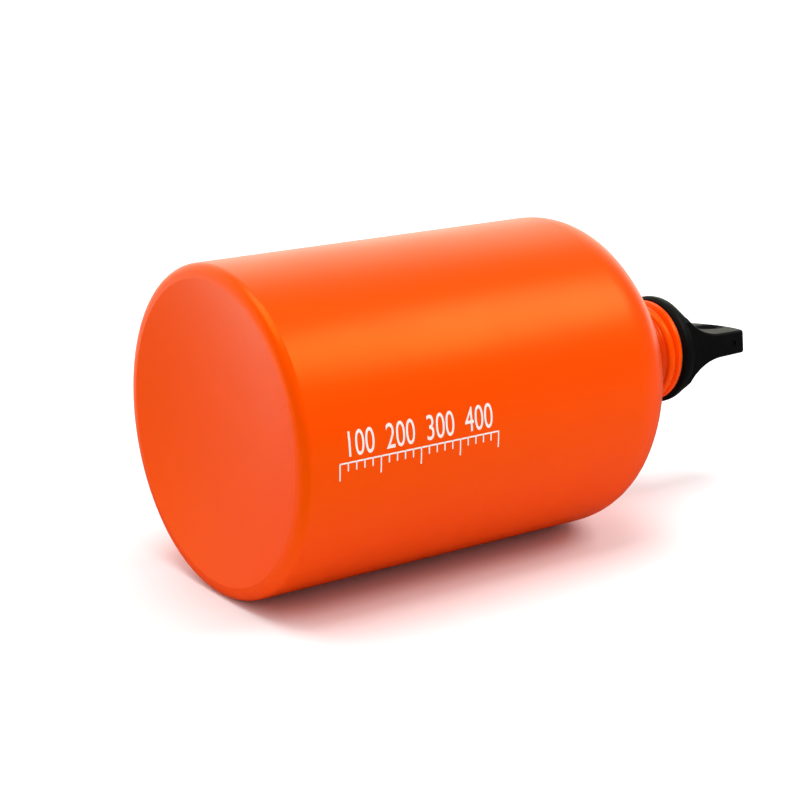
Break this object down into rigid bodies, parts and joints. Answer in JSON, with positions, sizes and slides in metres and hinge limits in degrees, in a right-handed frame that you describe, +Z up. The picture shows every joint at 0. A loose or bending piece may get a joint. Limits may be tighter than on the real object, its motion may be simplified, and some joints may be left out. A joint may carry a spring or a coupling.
{
  "type": "camping fuel bottle",
  "caption": "One-piece metal fuel bottle with a dished foot, domed shoulder and rolled neck thread, closed by a hollow screw cap with a flat eyed handle and a seal ring.",
  "frame": {"origin": "middle of the bounding box on the ground that the barrel lies on", "axes": "+X along the bottle's axis from its foot to its cap, +Y level, +Z up"},
  "size_m": [0.2012, 0.0988, 0.0988],
  "materials": {
    "bottle_lacquer": "satin gloss orange lacquer",
    "seal_rubber": "matt",
    "cap_plastic": "satin black"
  },
  "bodies": {
    "bottle": {"bottle_shell": "bottle_lacquer"},
    "seal": {"cap_seal": "seal_rubber"},
    "cap": {"screw_cap": "cap_plastic"}
  },
  "joints": [
    {"name": "cap_lift", "type": "slide", "parent": "bottle", "child": "seal", "axis": [1, 0, 0], "range_m": [0, 0.01365]},
    {"name": "cap_turn", "type": "hinge", "parent": "seal", "child": "cap", "pos_m": [0, 0, 0.0494], "axis": [1, 0, 0], "range_deg": [0, 1170]}
  ],
  "couplings": [
    {"joint": "cap_turn", "follows": "cap_lift", "rad_per_m": 1496}
  ]
}
